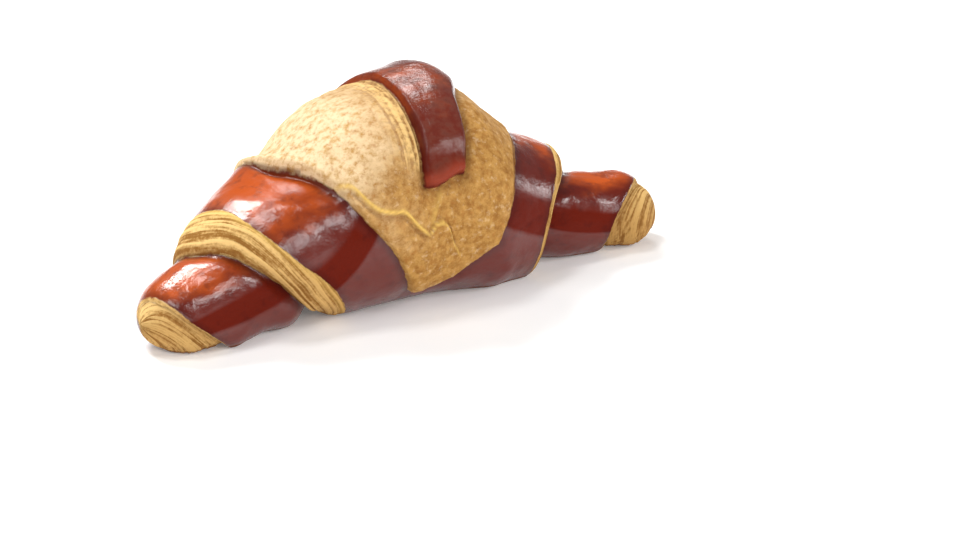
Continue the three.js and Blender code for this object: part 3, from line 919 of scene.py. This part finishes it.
def crust_material():
    """The whole skin: dry crust, laminated edges, glaze, painted shade in the crevices and sole
    by the fields.
    """
    material = bpy.data.materials.new("baked_crust")
    n = Nodes(material)
    glaze = n.field("glaze")
    ragged = n.centred(n.noise(2.2, 3), 0.45)
    dark = n.ramp(n.plus(glaze, ragged), -GLAZE_EDGE, GLAZE_EDGE)
    cut = n.plus(n.field("cut"), n.times(ragged, 0.4))
    cut_on = n.ramp(cut, -CUT_EDGE, CUT_EDGE)
    on_tail = n.ramp(n.field("tail"), 0.0, 1.5)
    sole = n.times_plus(n.noise(9, 3), 0.5, n.field("sole"))
    baked = n.ramp(sole, 0.55, 1.1)
    mottle = n.noise(2.1, 5, rough=0.7)
    freckle = n.noise(1.5, 4, rough=0.6, shift=0.3)
    fleck = n.noise(3.0, 3, rough=0.6, shift=0.6)
    fine = n.strands(STRAND_WIDTH, STRAND_LENGTH)

    colour = n.mix(cut_on, pale_colour(n, mottle, freckle, fine), leaf_colour(n, fine))
    colour = n.mix(dark, colour, glaze_colour(n, glaze, fleck, on_tail))
    # painted shade in the crevices and under the fold lips
    colour = n.mix(n.times(n.field("crevice_shade"), 0.6), colour, GLAZE_DARK)
    colour = n.mix(n.times(baked, 0.7), colour, SOLE_BROWN)
    n.put(n.shader.inputs["Base Color"], colour)
    n.put(n.shader.inputs["Roughness"], crust_roughness(n, dark, baked, mottle, fleck))
    n.put(n.shader.inputs["Coat Weight"], coat_weight(n, dark, baked, on_tail))
    n.shader.inputs["Coat Roughness"].default_value = COAT_ROUGHNESS
    n.shader.inputs["Coat IOR"].default_value = COAT_IOR
    n.shader.inputs["Specular IOR Level"].default_value = UNDER_COAT_SHINE
    add_bumps(n, dark, cut_on, on_tail, fine)
    return material


def floor_material():
    """Plain white, with a little glow of its own so that shadows stay soft."""
    material = bpy.data.materials.new("pale_floor")
    n = Nodes(material)
    grain = n.ramp(n.noise(40, 3), 0.3, 0.7)
    n.put(n.shader.inputs["Base Color"], n.mix(grain, FLOOR_WHITE, FLOOR_WHITER))
    n.shader.inputs["Emission Color"].default_value = (1, 1, 1, 1)
    n.shader.inputs["Emission Strength"].default_value = FLOOR_GLOW
    n.shader.inputs["Roughness"].default_value = FLOOR_ROUGHNESS
    n.shader.inputs["Specular IOR Level"].default_value = FLOOR_SHINE
    return material


# ---- the scene ----
CAMERA_AZIMUTH = -30.0
CAMERA_ELEVATION = 24.0
CAMERA_DISTANCE = 0.750
CAMERA_LENS = 106.9
AIM_ASIDE = 0.02105               # the croissant stands left of the picture's middle
AIM_ABOVE = 0.00303
# Lamps: name, direction from the croissant, width, length, watts.
LAMPS = [
    ("top back", (-0.19, 0.60, 0.77), 0.20, 0.54, 12.0),
    ("back", (0.28, 0.66, 0.70), 0.30, 0.30, 4.2),
    ("overhead", (-0.20, 0.02, 0.97), 0.28, 0.28, 3.7),
    ("front", (-0.04, -0.86, 0.49), 0.44, 0.32, 4.3),
    ("low front", (0.40, -0.87, 0.29), 0.30, 0.16, 1.6),
    ("right", (0.52, -0.64, 0.56), 0.28, 0.20, 3.7),
    ("far right", (0.95, -0.24, 0.13), 0.25, 0.25, 2.6),
    ("left", (-0.80, -0.25, 0.58), 0.60, 0.60, 5.2),
]
LAMP_DISTANCE = 1.3
WORLD_LIGHT = 0.17
FLOOR_HALF_SIZE = 4.0


def turned_towards(obj, direction):
    """Turns a lamp or a camera to look along a direction."""
    obj.rotation_mode = "QUATERNION"
    obj.rotation_quaternion = direction.to_track_quat("-Z", "Y")


def add_camera():
    """Looks at the croissant from the front left, a little from above."""
    a = math.radians(CAMERA_AZIMUTH)
    e = math.radians(CAMERA_ELEVATION)
    back = Vector((math.sin(a) * math.cos(e), -math.cos(a) * math.cos(e), math.sin(e)))
    right = (-back).cross(Vector((0, 0, 1))).normalized()
    up = right.cross(-back)
    middle = Vector((-ORIGIN_X, -ORIGIN_Y, 0)) / MM_PER_METRE
    camera = bpy.data.cameras.new("camera")
    camera.sensor_width = 36.0
    camera.lens = CAMERA_LENS
    camera.clip_start = 0.01
    camera.clip_end = 20.0
    seat = bpy.data.objects.new("camera", camera)
    seat.location = middle + back * CAMERA_DISTANCE + right * AIM_ASIDE + up * AIM_ABOVE
    turned_towards(seat, -back)
    bpy.context.scene.collection.objects.link(seat)
    bpy.context.scene.camera = seat


def add_lamps():
    """Soft area lamps turned to the croissant, and a weak even light all round."""
    for name, direction, width, length, watts in LAMPS:
        lamp = bpy.data.lights.new(name, "AREA")
        lamp.shape = "RECTANGLE"
        lamp.size = width
        lamp.size_y = length
        lamp.energy = watts
        stand = bpy.data.objects.new(name, lamp)
        away = Vector(direction).normalized()
        stand.location = away * LAMP_DISTANCE
        turned_towards(stand, -away)
        bpy.context.scene.collection.objects.link(stand)
    world = bpy.data.worlds.new("studio")
    world.use_nodes = True
    world.node_tree.nodes["Background"].inputs["Color"].default_value = (1, 1, 1, 1)
    world.node_tree.nodes["Background"].inputs["Strength"].default_value = WORLD_LIGHT
    bpy.context.scene.world = world


def add_floor():
    """A plain pale floor that runs out of the picture on every side."""
    half = FLOOR_HALF_SIZE
    mesh = bpy.data.meshes.new("floor")
    corners = [(-half, -half, 0), (half, -half, 0), (half, half, 0), (-half, half, 0)]
    mesh.from_pydata(corners, [], [(0, 1, 2, 3)])
    floor = bpy.data.objects.new("floor", mesh)
    floor.data.materials.append(floor_material())
    bpy.context.scene.collection.objects.link(floor)


add_camera()
add_lamps()
add_floor()
crust = croissant_object()
crust.data.materials.append(crust_material())
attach(crust, "root")
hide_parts("croissant")
bpy.context.scene.view_settings.view_transform = "Standard"
